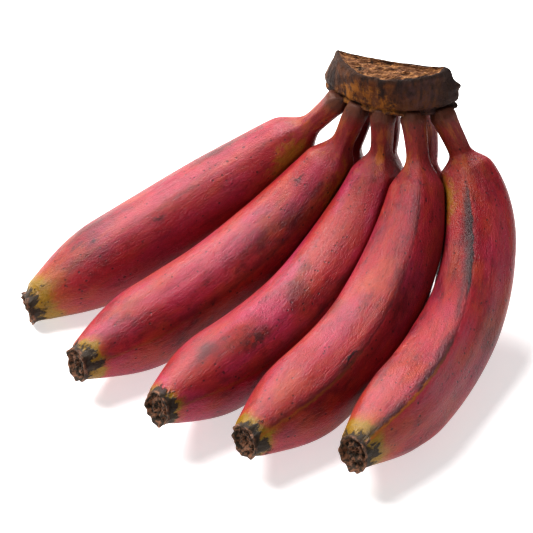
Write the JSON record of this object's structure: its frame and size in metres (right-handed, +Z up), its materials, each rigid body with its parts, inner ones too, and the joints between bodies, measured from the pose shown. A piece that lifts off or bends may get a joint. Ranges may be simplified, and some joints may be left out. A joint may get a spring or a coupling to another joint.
{
  "type": "bunch of red bananas",
  "caption": "Hand of red bananas lying on a table, a cut crown with a front row of long curved fingers and a short back row tucked behind.",
  "frame": {"origin": "centre of the bounding box's underside, on the table", "axes": "+Z up from the table, -Y towards the side that the fingers' tips point to, +X to the right of someone standing there"},
  "size_m": [0.23, 0.2114, 0.112],
  "materials": {
    "crown_bark": "dry, fibrous cut stem",
    "red_skin": "smooth waxy fruit skin, satin"
  },
  "bodies": {
    "root": {"crown": "crown_bark", "banana_front_1": "red_skin", "banana_front_2": "red_skin", "banana_front_3": "red_skin", "banana_front_4": "red_skin", "banana_front_5": "red_skin", "banana_back_1": "red_skin", "banana_back_2": "red_skin", "banana_back_3": "red_skin"}
  },
  "joints": []
}
